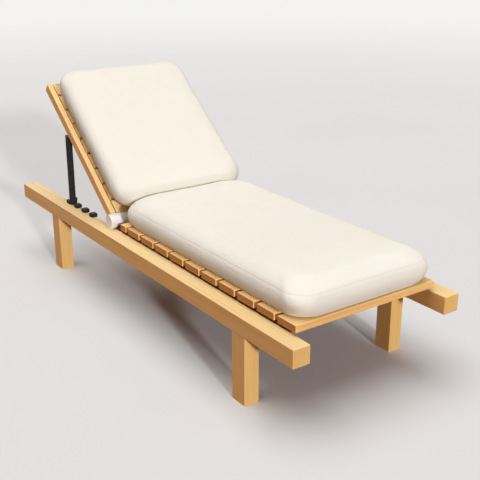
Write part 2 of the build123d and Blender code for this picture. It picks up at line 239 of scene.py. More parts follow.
def calc(tree, operation, first, second=0.0, third=0.0):
    inputs = {0: first, 1: second}
    if operation == "MULTIPLY_ADD":
        inputs[2] = third
    return add(tree, "Math", inputs, operation=operation).outputs[0]


def fade(tree, value, span, reach=(0.0, 1.0)):
    """Maps a value's span to its reach, with soft ends."""
    (low, high), (to_low, to_high) = span, reach
    inputs = {"Value": value, "From Min": low, "From Max": high, "To Min": to_low, "To Max": to_high}
    return add(tree, "MapRange", inputs, interpolation_type="SMOOTHSTEP").outputs["Result"]


def blend_colours(tree, share, first, second, kind="MIX"):
    first, second = [(*c, 1.0) if isinstance(c, tuple) else c for c in (first, second)]
    inputs = {0: share, 6: first, 7: second}
    return add(tree, "Mix", inputs, data_type="RGBA", blend_type=kind).outputs[2]


def tint(tree, share, colour, filter_colour):
    """Multiplies a colour by another where share is 1, and leaves it where share is 0."""
    return blend_colours(tree, share, colour, filter_colour, "MULTIPLY")


def new_material(name):
    material = bpy.data.materials.new(name)
    material.use_nodes = True
    tree = material.node_tree
    tree.nodes.clear()
    output = add(tree, "OutputMaterial")
    shader = add(tree, "BsdfPrincipled")
    tree.links.new(shader.outputs[0], output.inputs[0])
    return material, tree, shader


def noise_at(tree, place, scale, detail=2.0, roughness=0.5):
    inputs = {"Vector": place, "Scale": scale, "Detail": detail, "Roughness": roughness}
    return add(tree, "TexNoise", inputs).outputs[0]


def patches_at(tree, place, scale):
    """Noise with broad patches that have rough edges."""
    return noise_at(tree, place, scale, detail=3.0, roughness=0.6)


def bump(tree, shader, height, distance, strength=1.0):
    made = add(tree, "Bump", {"Height": height, "Distance": distance, "Strength": strength})
    tree.links.new(made.outputs[0], shader.inputs["Normal"])


def local_place(tree, centre, turn):
    """The shaded point in the own frame of a piece that is turned about X."""
    coordinates = add(tree, "TexCoord").outputs["Object"]
    inputs = {"Vector": coordinates, "Location": tuple(centre), "Rotation": (turn, 0.0, 0.0)}
    return add(tree, "Mapping", inputs, vector_type="TEXTURE").outputs[0]


def local_facing(tree, turn):
    """The direction that the surface faces, in the own frame of a piece that is turned about X."""
    inputs = {"Vector": add(tree, "TexCoord").outputs["Normal"], "Rotation": (-turn, 0.0, 0.0)}
    return add(tree, "Mapping", inputs, vector_type="VECTOR").outputs[0]


def second_smallest(tree, a, b, c):
    low = calc(tree, "MINIMUM", a, b)
    high = calc(tree, "MAXIMUM", a, b)
    return calc(tree, "MAXIMUM", low, calc(tree, "MINIMUM", high, c))


# Spans of noise that several materials share
CLOUD_SPAN = (0.3, 0.7)
PATCH_SPAN = (0.35, 0.7)
ROUGHNESS_SPAN = (0.3, 0.75)

# Wood: the tops are paler than the sides as painted light, and the sides, above all those turned to
# X, are deeper and redder as painted shade. End grain drinks more oil, and the arrises are paler with
# wear and a painted highlight. The filters multiply the colour, each by its share.
WOOD_LIT_TOP = (0.93, 0.74, 0.395)
WOOD_SHADED_SIDE = (0.99, 0.67, 0.275)
WOOD_END = (0.51, 0.25, 0.085)
# Arrises: paler with wear and a painted highlight
WOOD_WEAR_AND_HIGHLIGHT = (0.96, 0.72, 0.42)
# Painted shade: a darker, redder filter on the faces turned to X
FLANK_SHADE_FILTER = (0.95, 0.86, 0.83)
LATE_FILTER = (0.90, 0.72, 0.52)
FIBRE_FILTER = (0.90, 0.71, 0.50)
BROAD_FILTER = (0.97, 0.91, 0.84)
# Painted shade: the cleats under the deck are made near black, as the shade in the gap under the slat ends
CLEAT_PAINTED_SHADE = (0.07, 0.045, 0.035)
WARM_STAIN = (0.99, 0.935, 0.87)
NO_STAIN = (1.0, 1.0, 1.0)
SLAT_END_SHARE = 1.0
RAIL_END_SHARE = 0.15
LATE_SHARE = 0.40
COARSE_SHARE = 0.45
FINE_SHARE = 0.25
WEAR_AND_HIGHLIGHT_SHARE = 0.45
WOOD_UP_SPAN = (0.35, 0.8)
WOOD_SIDE_SPAN = (0.6, 0.9)
COARSE_SPAN = (0.42, 0.75)
FINE_SPAN = (0.5, 0.85)
WORN_SPAN = (0.3, 0.65)
ARRIS_SPAN = (4 * MM, 0.5 * MM)
WOOD_ROUGHNESS_SPAN = (0.3, 0.8)
WOOD_ROUGHNESS = (0.50, 0.66)
WOOD_SPECULAR = 0.12
WOOD_RELIEF = 0.35 * MM
LATE_RELIEF_SHARE = -0.35
COARSE_RELIEF_SHARE = -0.9

# Grain: how much slower the colour changes along it than across it
BOARD_SQUEEZE = 0.10
FIBRE_SQUEEZE = 0.018
BROAD_SCALE = 16.0
COARSE_SCALE = 140.0
FINE_SCALE = 620.0

# Growth rings: the pith runs beside and under the board, and leans along it. Each range is what
# the board's own shifts, from -1 to 1, can add.
RING_PITCH = 5.5 * MM
RING_WANDER = 22 * MM
WANDER_SCALE = 9.0
WANDER_SCALE_RANGE = 2.0
LATE_START_SPAN = (0.35, 0.86)
LATE_END_SPAN = (1.0, 0.93)
PITH_ASIDE = 35 * MM
PITH_ASIDE_RANGE = 90 * MM
PITH_UNDER = 60 * MM
PITH_UNDER_RANGE = 100 * MM
PITH_LEAN = 0.02
PITH_LEAN_RANGE = 0.02

# What sets one board apart: how far its tone, green and blue may shift, and the steps between the
# places where its shifts are read off one field of noise
TONE_RANGE = 0.05
GREEN_RANGE = 0.015
BLUE_RANGE = 0.04
SHIFT_COUNT = 5
SEED_STEPS = (1.7, 0.61)
SHIFT_STEPS = (5.3, 2.9)


def own_shifts(seed):
    """Numbers between -1 and 1 that one board has to itself."""
    shifts = []
    for k in range(SHIFT_COUNT):
        place = (seed * SEED_STEPS[0] + k * SHIFT_STEPS[0], seed * SEED_STEPS[1], k * SHIFT_STEPS[1])
        shifts.append(noise.noise(Vector(place)))
    return shifts


def along_grain(tree, axes, grain, squeeze):
    """The shaded point, squeezed along the grain so that noise makes streaks there."""
    across, depth = [axes[i] for i in range(3) if i != grain]
    along = calc(tree, "MULTIPLY", axes[grain], squeeze)
    return add(tree, "CombineXYZ", {0: across, 1: depth, 2: along}).outputs[0]


def growth_rings(tree, axes, grain, shifts):
    """Late wood, from 0 to 1, in rings round a pith that runs beside the board and leans a little."""
    across, depth = [axes[i] for i in range(3) if i != grain]
    board = along_grain(tree, axes, grain, BOARD_SQUEEZE)
    wander = noise_at(tree, board, WANDER_SCALE + WANDER_SCALE_RANGE * shifts[4])
    wander = calc(tree, "MULTIPLY_ADD", wander, RING_WANDER, -RING_WANDER / 2)
    lean = PITH_LEAN + PITH_LEAN_RANGE * shifts[3]
    aside = PITH_ASIDE + PITH_ASIDE_RANGE * abs(shifts[0])
    under = PITH_UNDER + PITH_UNDER_RANGE * abs(shifts[2])
    side_reach = calc(tree, "ADD", across, aside if shifts[1] > 0 else -aside)
    side_reach = calc(tree, "MULTIPLY_ADD", axes[grain], lean, side_reach)
    deep_reach = calc(tree, "ADD", depth, under)
    reach = calc(tree, "ADD", calc(tree, "POWER", side_reach, 2.0), calc(tree, "POWER", deep_reach, 2.0))
    reach = calc(tree, "ADD", calc(tree, "SQRT", reach), wander)
    cycle = calc(tree, "FRACT", calc(tree, "DIVIDE", reach, RING_PITCH))
    late = calc(tree, "MULTIPLY", fade(tree, cycle, LATE_START_SPAN), fade(tree, cycle, LATE_END_SPAN))
    return late, noise_at(tree, board, BROAD_SCALE)


def arris_wear_and_highlight(tree, axes, half, coarse):
    """Wear with a painted highlight, from 0 to 1: in patches, along the wood's arrises alone."""
    insides = [calc(tree, "SUBTRACT", half[i], calc(tree, "ABSOLUTE", axes[i])) for i in range(3)]
    edge = fade(tree, second_smallest(tree, *insides), ARRIS_SPAN)
    return calc(tree, "MULTIPLY", edge, fade(tree, coarse, WORN_SPAN))


def board_filter(shifts, stain):
    """The stain of a board, with the small shift in colour that sets the board apart."""
    tone = 1.0 + TONE_RANGE * shifts[1]
    green, blue = 1 + GREEN_RANGE * shifts[2], 1 + BLUE_RANGE * shifts[4]
    return tuple(a * b for a, b in zip((tone, tone * green, tone * blue), stain))


def wood(name, centre, half, grain, turn, seed, end_share, stain):
    """Oiled wood with its grain along one axis: growth rings, fine fibres and softened arrises, with painted light
    on its tops, painted shade on its sides and a painted highlight on its arrises.
    """
    material, tree, shader = new_material(name)
    axes = add(tree, "SeparateXYZ", {0: local_place(tree, centre, turn)}).outputs
    facing = add(tree, "SeparateXYZ", {0: local_facing(tree, turn)}).outputs
    shifts = own_shifts(seed)
    late, broad = growth_rings(tree, axes, grain, shifts)
    fibre_place = along_grain(tree, axes, grain, FIBRE_SQUEEZE)
    coarse = patches_at(tree, fibre_place, COARSE_SCALE)
    fine = noise_at(tree, fibre_place, FINE_SCALE, roughness=0.6)

    # Painted light and shade: paler on the tops, deeper and redder on the sides, more so on those turned to X
    colour = blend_colours(tree, fade(tree, facing[2], WOOD_UP_SPAN), WOOD_SHADED_SIDE, WOOD_LIT_TOP)
    flank_shade = fade(tree, calc(tree, "ABSOLUTE", facing[0]), WOOD_SIDE_SPAN)
    colour = tint(tree, flank_shade, colour, FLANK_SHADE_FILTER)
    end_grain = fade(tree, calc(tree, "ABSOLUTE", facing[grain]), WOOD_SIDE_SPAN, (0.0, end_share))
    colour = blend_colours(tree, end_grain, colour, WOOD_END)
    colour = tint(tree, fade(tree, broad, CLOUD_SPAN), colour, BROAD_FILTER)
    colour = tint(tree, calc(tree, "MULTIPLY", late, LATE_SHARE), colour, LATE_FILTER)
    colour = tint(tree, fade(tree, coarse, COARSE_SPAN, (0.0, COARSE_SHARE)), colour, FIBRE_FILTER)
    colour = tint(tree, fade(tree, fine, FINE_SPAN, (0.0, FINE_SHARE)), colour, FIBRE_FILTER)
    # Wear on the arrises, with a painted highlight
    wear_and_highlight = calc(tree, "MULTIPLY", arris_wear_and_highlight(tree, axes, half, coarse), WEAR_AND_HIGHLIGHT_SHARE)
    colour = blend_colours(tree, wear_and_highlight, colour, WOOD_WEAR_AND_HIGHLIGHT)
    feed(tree, shader, {
        "Base Color": tint(tree, 1.0, colour, board_filter(shifts, stain)),
        "Roughness": fade(tree, coarse, WOOD_ROUGHNESS_SPAN, WOOD_ROUGHNESS),
        "Specular IOR Level": WOOD_SPECULAR,
    })
    fibre_height = calc(tree, "MULTIPLY_ADD", coarse, COARSE_RELIEF_SHARE, fine)
    height = calc(tree, "MULTIPLY_ADD", late, LATE_RELIEF_SHARE, fibre_height)
    bump(tree, shader, height, WOOD_RELIEF, strength=0.5)
    return material


# Metal, enamel and plastic
STEEL_COAT = (0.023, 0.022, 0.020)
STEEL_RUBBED = (0.033, 0.031, 0.028)
# Painted shade on the faces turned to X, and a paler tone on those facing up
STEEL_FLANK_SHADE = (0.009, 0.008, 0.007)
STEEL_UP_FACING = (0.058, 0.057, 0.060)
STEEL_GLINT = (0.07, 0.07, 0.068)
STEEL_TURNED_SPAN = (0.5, 0.95)
STEEL_FLANK_SHARE = 0.8
STEEL_PEBBLE_SCALE = 900.0
STEEL_PEBBLE_SPAN = (0.62, 0.8)
STEEL_PEBBLE_SHARE = 0.3
STEEL_PEBBLE_RELIEF = 0.12 * MM
STEEL_PATCH_SCALE = 45.0
STEEL_ROUGHNESS = (0.56, 0.68)
STEEL_SPECULAR = 0.10


def black_steel(name):
    """Satin black powder coat: a fine pebble, with paler rubs, painted shade on the faces turned to X, and a paler
    tone where it faces up.
    """
    material, tree, shader = new_material(name)
    place = add(tree, "TexCoord").outputs["Object"]
    facing = add(tree, "SeparateXYZ", {0: local_facing(tree, 0.0)}).outputs
    flank_shade = fade(tree, calc(tree, "ABSOLUTE", facing[0]), STEEL_TURNED_SPAN, (0.0, STEEL_FLANK_SHARE))
    pebble = noise_at(tree, place, STEEL_PEBBLE_SCALE)
    glint = fade(tree, pebble, STEEL_PEBBLE_SPAN, (0.0, STEEL_PEBBLE_SHARE))
    patch = patches_at(tree, place, STEEL_PATCH_SCALE)
    colour = blend_colours(tree, fade(tree, patch, PATCH_SPAN), STEEL_COAT, STEEL_RUBBED)
    # Painted shade on the faces turned to X, and a paler tone where the coat faces up
    colour = blend_colours(tree, flank_shade, colour, STEEL_FLANK_SHADE)
    colour = blend_colours(tree, fade(tree, facing[2], STEEL_TURNED_SPAN), colour, STEEL_UP_FACING)
    feed(tree, shader, {
        "Base Color": blend_colours(tree, glint, colour, STEEL_GLINT),
        "Roughness": fade(tree, patch, ROUGHNESS_SPAN, STEEL_ROUGHNESS),
        "Specular IOR Level": STEEL_SPECULAR,
    })
    bump(tree, shader, pebble, STEEL_PEBBLE_RELIEF, strength=0.6)
    return material


ENAMEL_LIGHT = (0.89, 0.865, 0.86)
ENAMEL_DARK = (0.855, 0.825, 0.815)
ENAMEL_PEEL_SCALE = 420.0
ENAMEL_PEEL_RELIEF = 0.08 * MM
ENAMEL_PATCH_SCALE = 28.0
ENAMEL_ROUGHNESS = (0.32, 0.44)
ENAMEL_SPECULAR = 0.4


def white_enamel(name):
    """Satin white powder coat, very slightly mottled."""
    material, tree, shader = new_material(name)
    place = add(tree, "TexCoord").outputs["Object"]
    peel = noise_at(tree, place, ENAMEL_PEEL_SCALE)
    patch = patches_at(tree, place, ENAMEL_PATCH_SCALE)
    feed(tree, shader, {
        "Base Color": blend_colours(tree, fade(tree, patch, PATCH_SPAN), ENAMEL_LIGHT, ENAMEL_DARK),
        "Roughness": fade(tree, patch, ROUGHNESS_SPAN, ENAMEL_ROUGHNESS),
        "Specular IOR Level": ENAMEL_SPECULAR,
    })
    bump(tree, shader, peel, ENAMEL_PEEL_RELIEF, strength=0.4)
    return material


ZINC_BRIGHT = (0.60, 0.60, 0.585)
ZINC_DULL = (0.47, 0.47, 0.46)
ZINC_SPANGLE = (0.70, 0.70, 0.69)
ZINC_SPANGLE_SCALE = 260.0
ZINC_SPANGLE_SPAN = (0.2, 0.6)
ZINC_SPANGLE_SHARE = 0.35
ZINC_SPANGLE_RELIEF = 0.05 * MM
ZINC_PATCH_SCALE = 60.0
ZINC_ROUGHNESS = (0.28, 0.45)


def zinc_steel(name):
    """Zinc plate, with the soft spangle and dull patches of plated hardware."""
    material, tree, shader = new_material(name)
    place = add(tree, "TexCoord").outputs["Object"]
    cells = add(tree, "TexVoronoi", {"Vector": place, "Scale": ZINC_SPANGLE_SCALE}).outputs["Distance"]
    spangle = fade(tree, cells, ZINC_SPANGLE_SPAN, (0.0, ZINC_SPANGLE_SHARE))
    patch = patches_at(tree, place, ZINC_PATCH_SCALE)
    colour = blend_colours(tree, fade(tree, patch, ROUGHNESS_SPAN), ZINC_BRIGHT, ZINC_DULL)
    feed(tree, shader, {
        "Base Color": blend_colours(tree, spangle, colour, ZINC_SPANGLE),
        "Metallic": 1.0,
        "Roughness": fade(tree, patch, ROUGHNESS_SPAN, ZINC_ROUGHNESS),
    })
    bump(tree, shader, cells, ZINC_SPANGLE_RELIEF, strength=0.5)
    return material


NYLON_LIGHT = (0.66, 0.645, 0.60)
NYLON_DARK = (0.58, 0.565, 0.52)
NYLON_CLOUD_SCALE = 90.0
NYLON_CLOUD_RELIEF = 0.06 * MM
NYLON_ROUGHNESS = (0.38, 0.5)


def nylon(name):
    """Natural nylon, faintly cloudy."""
    material, tree, shader = new_material(name)
    cloud = patches_at(tree, add(tree, "TexCoord").outputs["Object"], NYLON_CLOUD_SCALE)
    feed(tree, shader, {
        "Base Color": blend_colours(tree, fade(tree, cloud, CLOUD_SPAN), NYLON_LIGHT, NYLON_DARK),
        "Roughness": fade(tree, cloud, CLOUD_SPAN, NYLON_ROUGHNESS),
    })
    bump(tree, shader, cloud, NYLON_CLOUD_RELIEF, strength=0.5)
    return material


# Cushion cover: a plain weave with thicker threads here and there and painted shade between its
# threads, painted shade over the shoulder at the foot end, and painted shade low on its flanks
CLOTH_LIGHT = (0.96, 0.915, 0.805)
CLOTH_DARK = (0.90, 0.845, 0.72)
# Painted shade between the threads
CLOTH_WEAVE_SHADE = (0.84, 0.775, 0.64)
# Painted shade over the shoulder that faces the foot end and up
SHOULDER_SHADE_FILTER = (0.925, 0.925, 0.93)
SHOULDER_SHADE_SPAN = (-0.12, -0.48)
# Painted shade low on the flanks, on faces turned down and to X
LOW_SHADE_SPAN = (0.25, -0.35)
CLOTH_FLANK_SPAN = (0.5, 0.9)
CLOTH_FACE_SPAN = (0.45, 0.75)
THREAD_PITCH = 1.5 * MM
CROSSING_SPAN = (-0.4, 0.4)
CLOTH_HOLLOW_SPAN = (0.75, 0.1)
CLOTH_HOLLOW_SHARE = 0.20
SLUB_SCALE = 260.0
SLUB_SQUEEZE = 0.12
SLUB_SPAN = (0.5, 0.78)
SLUB_SHARE = 0.22
SLUB_RELIEF_SHARE = 0.8
MOTTLE_SCALE = 14.0
MOTTLE_SPAN = (0.3, 0.72)
MOTTLE_SHARE = 0.22
CLOTH_ROUGHNESS = 0.88
CLOTH_SPECULAR = 0.2
CLOTH_SHEEN = 0.15
CLOTH_SHEEN_ROUGHNESS = 0.5
CLOTH_RELIEF = 0.30 * MM


def scaled(colour, share):
    return tuple(share * c for c in colour)


def woven_threads(tree, axes, tilt):
    """How far the threads stand out, from 0 to 1, woven in the plane of each of the faces."""
    rate = 2 * math.pi / THREAD_PITCH
    waves = [calc(tree, "ABSOLUTE", calc(tree, "SINE", calc(tree, "MULTIPLY", v, rate))) for v in axes]
    cells = [calc(tree, "SINE", calc(tree, "MULTIPLY", v, rate / 2)) for v in axes]
    faces = []
    for first, second, outward in ((0, 1, 2), (1, 2, 0), (0, 2, 1)):
        crossing = fade(tree, calc(tree, "MULTIPLY", cells[first], cells[second]), CROSSING_SPAN)
        inputs = {0: crossing, 2: waves[first], 3: waves[second]}
        woven = add(tree, "Mix", inputs, data_type="FLOAT").outputs[0]
        faces.append(calc(tree, "MULTIPLY", woven, fade(tree, tilt[outward], CLOTH_FACE_SPAN)))
    flat, side, end = faces
    return calc(tree, "MAXIMUM", flat, calc(tree, "MAXIMUM", side, end))


def slubs(tree, place, scale):
    """Thicker stretches of thread, drawn out along the axis that scale squeezes."""
    drawn_out = add(tree, "Mapping", {"Vector": place, "Scale": scale}).outputs[0]
    return noise_at(tree, drawn_out, SLUB_SCALE, roughness=0.55)


def fabric(name, centre, turn, painted_shade_tone, low_shade_filter):
    """A plain woven cover. The threads follow the cushion's own axes on each of its faces."""
    material, tree, shader = new_material(name)
    place = local_place(tree, centre, turn)
    facing = add(tree, "SeparateXYZ", {0: local_facing(tree, turn)}).outputs
    tilt = [calc(tree, "ABSOLUTE", v) for v in facing]
    threads = woven_threads(tree, add(tree, "SeparateXYZ", {0: place}).outputs, tilt)
    lengthwise = slubs(tree, place, (1.0, SLUB_SQUEEZE, 1.0))
    crosswise = slubs(tree, place, (SLUB_SQUEEZE, 1.0, 1.0))
    mottle = noise_at(tree, place, MOTTLE_SCALE, detail=3.0, roughness=0.55)
    # Painted shade over the shoulder at the foot end
    shoulder_shade = fade(tree, calc(tree, "MULTIPLY", facing[1], facing[2]), SHOULDER_SHADE_SPAN)
    # Painted shade low on the flanks, on faces turned down and to X
    low = calc(tree, "MULTIPLY", fade(tree, facing[2], LOW_SHADE_SPAN), fade(tree, tilt[0], CLOTH_FLANK_SPAN))

    # The tone is lowered on the back cushion as painted shade
    light, dark, weave_shade = [scaled(c, painted_shade_tone) for c in (CLOTH_LIGHT, CLOTH_DARK, CLOTH_WEAVE_SHADE)]
    colour = blend_colours(tree, fade(tree, mottle, MOTTLE_SPAN, (0.0, MOTTLE_SHARE)), light, dark)
    for slub in (lengthwise, crosswise):
        colour = blend_colours(tree, fade(tree, slub, SLUB_SPAN, (0.0, SLUB_SHARE)), colour, dark)
    # Painted shade between the threads, where they sink
    between = fade(tree, threads, CLOTH_HOLLOW_SPAN, (0.0, CLOTH_HOLLOW_SHARE))
    colour = blend_colours(tree, between, colour, weave_shade)
    colour = tint(tree, shoulder_shade, colour, SHOULDER_SHADE_FILTER)
    feed(tree, shader, {
        # Painted shade low on the flanks
        "Base Color": tint(tree, low, colour, low_shade_filter),
        "Roughness": CLOTH_ROUGHNESS,
        "Specular IOR Level": CLOTH_SPECULAR,
        "Sheen Weight": CLOTH_SHEEN,
        "Sheen Roughness": CLOTH_SHEEN_ROUGHNESS,
    })
    both = calc(tree, "ADD", lengthwise, crosswise)
    height = calc(tree, "MULTIPLY_ADD", both, SLUB_RELIEF_SHARE, threads)
    bump(tree, shader, height, CLOTH_RELIEF, strength=0.6)
    return material


THREAD_LIGHT = (0.76, 0.69, 0.58)
THREAD_DARK = (0.66, 0.59, 0.49)
THREAD_TWIST_SCALE = 1400.0
THREAD_TWIST_SPAN = (0.35, 0.65)
THREAD_TWIST_RELIEF = 0.1 * MM
THREAD_ROUGHNESS = 0.7


def thread(name):
    """Twisted sewing thread, a shade darker than the cover."""
    material, tree, shader = new_material(name)
    place = add(tree, "TexCoord").outputs["Object"]
    twist = noise_at(tree, place, THREAD_TWIST_SCALE, detail=1.0)
    feed(tree, shader, {
        "Base Color": blend_colours(tree, fade(tree, twist, THREAD_TWIST_SPAN), THREAD_LIGHT, THREAD_DARK),
        "Roughness": THREAD_ROUGHNESS,
    })
    bump(tree, shader, twist, THREAD_TWIST_RELIEF, strength=0.6)
    return material


# Materials of the CAD pieces
def own_box(points, turn, centre):
    """The middle and half sizes of a piece in its own turned frame."""
    back = Matrix.Rotation(-turn, 3, "X")
    local = np.array([back @ (p - centre) for p in points])
    low, high = local.min(0), local.max(0)
    middle = centre + Matrix.Rotation(turn, 3, "X") @ Vector((low + high) / 2)
    return middle, [float(v) for v in (high - low) / 2]


def wood_piece(name, seed):
    """Wood for one CAD piece. The cleats that hide under the deck are made near black as painted shade, for the
    gap under the slat ends.
    """
    piece = frame["nodes"][name]
    turn = BACK_ANGLE if name.startswith("back_") else 0.0
    middle, half = own_box([v.co for v in piece.data.vertices], turn, HINGE)
    grain = int(np.argmax(half))
    end_share = SLAT_END_SHARE if "slat" in name else RAIL_END_SHARE
    stain = WARM_STAIN if "slat" in name or "stile" in name else NO_STAIN
    # Painted shade on the hidden cleats
    if name.endswith("deck_cleat"):
        stain = CLEAT_PAINTED_SHADE
    return wood("wood_" + name, middle, tuple(half), grain, turn, seed, end_share, stain)


def dress_cad_pieces():
    shared = {
        "black_steel": black_steel("black_steel"),
        "white_enamel": white_enamel("white_enamel"),
        "zinc_steel": zinc_steel("zinc_steel"),
        "nylon": nylon("nylon"),
    }
    slots = {row["node"]: row["material_slot"] for row in frame["record"]["subparts"]}
    for seed, (name, piece) in enumerate(sorted(frame["nodes"].items())):
        slot = slots[name]
        if slot == "cushion_fabric":
            continue
        material = shared.get(slot) or wood_piece(name, seed)
        piece.data.materials.clear()
        piece.data.materials.append(material)


# Cushions
def rounded_outline(half_width, half_length, radius, steps):
    """Points of a rounded rectangle, counter-clockwise from the +X side."""
    corner_steps, side_steps = steps
    points = []
    for index, (sx, sy) in enumerate(((1, 1), (-1, 1), (-1, -1), (1, -1))):
        middle = Vector((sx * (half_width - radius), sy * (half_length - radius)))
        for step in range(corner_steps + 1):
            turn = math.pi / 2 * (index + step / corner_steps)
            points.append(middle + radius * Vector((math.cos(turn), math.sin(turn))))
    dense = []
    for index, point in enumerate(points):
        following = points[(index + 1) % len(points)]
        parts = side_steps if (index + 1) % (corner_steps + 1) == 0 else 1
        dense += [point.lerp(following, part / parts) for part in range(parts)]
    return dense


def cushion_rings(thickness, narrow_half, plan):
    """Inset and height of each ring of the cushion, from the bottom edge to the crown."""
    waist = thickness * plan["waist_share"]
    bottom_reach, top_reach = plan["bottom_reach"], plan["top_reach"]
    rings = []
    for step in range(LOW_STEPS, 0, -1):
        turn = math.pi / 2 * step / LOW_STEPS
        rings.append((bottom_reach * (1 - math.cos(turn)), waist * (1 - math.sin(turn))))
    for step in range(HIGH_STEPS + 1):
        turn = math.pi / 2 * step / HIGH_STEPS
        rings.append((top_reach * (1 - math.cos(turn)), waist + (thickness - waist) * math.sin(turn)))
    for step in range(1, CROWN_STEPS + 1):
        share = CROWN_REACH * step / CROWN_STEPS
        inset = top_reach + (narrow_half - top_reach) * share
        rings.append((inset, thickness + CROWN * (1 - (1 - share) ** 2)))
    return rings


def cushion_start(name, size, plan):
    """The closed form that the cover is sewn to, in its own frame: bottom at zero, +Z through the top."""
    width, length, thickness = size
    half_width = width / 2 - SWELL_START
    half_length = length / 2 - SWELL_START
    narrow = min(half_width, half_length)
    mesh = bmesh.new()
    loops = []
    for inset, height in cushion_rings(thickness - SWELL_START, narrow, plan):
        radius = min(plan["corner"] + CORNER_OPENING * inset, CORNER_LIMIT * (narrow - inset))
        head_inset = inset * plan["head_share"]
        ring_half_length = half_length - (inset + head_inset) / 2
        outline = rounded_outline(half_width - inset, ring_half_length, radius, COVER_STEPS)
        shift = (inset - head_inset) / 2
        loops.append([mesh.verts.new((p.x, p.y + shift, height)) for p in outline])
    for lower, upper in zip(loops, loops[1:]):
        for index in range(len(lower)):
            following = (index + 1) % len(lower)
            mesh.faces.new((lower[index], lower[following], upper[following], upper[index]))
    mesh.faces.new(loops[0][::-1])
    mesh.faces.new(loops[-1])
    bmesh.ops.recalc_face_normals(mesh, faces=mesh.faces)
    data = bpy.data.meshes.new(name)
    mesh.to_mesh(data)
    mesh.free()
    return new_object(name, data)


def apply_modifiers(piece):
    """Puts what the modifiers make into the piece's own mesh."""
    graph = bpy.context.evaluated_depsgraph_get()
    made = bpy.data.meshes.new_from_object(piece.evaluated_get(graph))
    piece.modifiers.clear()
    old = piece.data
    piece.data = made
    bpy.data.meshes.remove(old)


def points_of(piece):
    flat = np.zeros(len(piece.data.vertices) * 3)
    piece.data.vertices.foreach_get("co", flat)
    return flat.reshape(-1, 3)


def set_points(piece, points):
    piece.data.vertices.foreach_set("co", points.astype(np.float32).ravel())
    piece.data.update()


def remesh(piece):
    voxels = piece.modifiers.new("Remesh", "REMESH")
    voxels.mode = "VOXEL"
    voxels.voxel_size = VOXEL
    apply_modifiers(piece)


def held_weight(points, seam_height):
    """How firmly the cover is held: fast where it rests, and lightly along the seam."""
    near_seam = np.clip(1 - np.abs(points[:, 2] - seam_height) / SEAM_HOLD_REACH, 0, 1)
    weight = SEAM_HOLD_SHARE * near_seam
    weight[points[:, 2] < HELD_HEIGHT] = 1.0
    return weight


def evened(piece, values):
    """Spreads a vector at each vertex evenly over its neighbours, round by round."""
    ends = np.zeros(len(piece.data.edges) * 2, dtype=np.int32)
    piece.data.edges.foreach_get("vertices", ends)
    first, second = ends.reshape(-1, 2).T
    size = len(values)
    neighbours = np.bincount(first, minlength=size) + np.bincount(second, minlength=size)
    for _ in range(EVENING_ROUNDS):
        sums = [
            np.bincount(first, values[second, k], size) + np.bincount(second, values[first, k], size)
            for k in range(3)
        ]
        values = (values + np.stack(sums, 1) / neighbours[:, None]) / 2
    return values


def add_cloth(piece, seam_height):
    """Cloth that is held at the bottom and the seam. Returns the points that it starts from."""
    points = points_of(piece)
    held = piece.vertex_groups.new(name="held")
    for index, weight in enumerate(held_weight(points, seam_height)):
        if weight > LEAST_WEIGHT:
            held.add([index], float(weight), "REPLACE")
    cloth = piece.modifiers.new("Cloth", "CLOTH")
    for key, value in CLOTH_SETTINGS.items():
        setattr(cloth.settings, key, value)
    cloth.settings.effector_weights.gravity = 0.0
    cloth.settings.vertex_group_mass = "held"
    cloth.collision_settings.use_collision = False
    cloth.point_cache.frame_start = 1
    cloth.point_cache.frame_end = CLOTH_FRAMES
    return points


def swell(plans):
    """Blows the covers up with cloth simulation, all in one run."""
    starts = [add_cloth(plan["piece"], plan["seam_heights"][0]) for plan in plans]
    scene = bpy.context.scene
    scene.frame_start = 1
    scene.frame_end = CLOTH_FRAMES
    for number in range(1, CLOTH_FRAMES + 1):
        scene.frame_set(number)
    for plan, start in zip(plans, starts):
        piece = plan["piece"]
        apply_modifiers(piece)
        piece.vertex_groups.clear()
        moved = points_of(piece) - start
        far = np.linalg.norm(moved, axis=1)
        waist = plan["waist_share"] * plan["size"][2]
        limit = SWELL_LIMIT * np.clip(start[:, 2] / waist, 0.0, 1.0)
        moved *= np.minimum(1.0, limit / np.maximum(far, LEAST_MOVE))[:, None]
        even = evened(piece, moved)
        set_points(piece, start + even + WRINKLE_SHARE * (moved - even))
    scene.frame_set(1)


def fit_to_size(piece, size):
    """Fits the swollen form to the cushion's real size and flattens its bottom, where it rests."""
    points = points_of(piece)
    width, length, thickness = size
    low, high = points.min(0), points.max(0)
    middle = (low + high) / 2
    points[:, 0] = (points[:, 0] - middle[0]) * width / (high[0] - low[0])
    points[:, 1] = (points[:, 1] - middle[1]) * length / (high[1] - low[1])
    floor = np.percentile(points[:, 2], BOTTOM_PERCENT)
    points[:, 2] = (points[:, 2] - floor) * (thickness + CROWN) / (high[2] - floor)
    points[:, 2] = np.maximum(points[:, 2], 0.0)
    set_points(piece, points)


def bell(distance, reach):
    """1 at no distance, and nearly nothing at twice the reach."""
    return math.exp(-((distance / reach) ** 2))


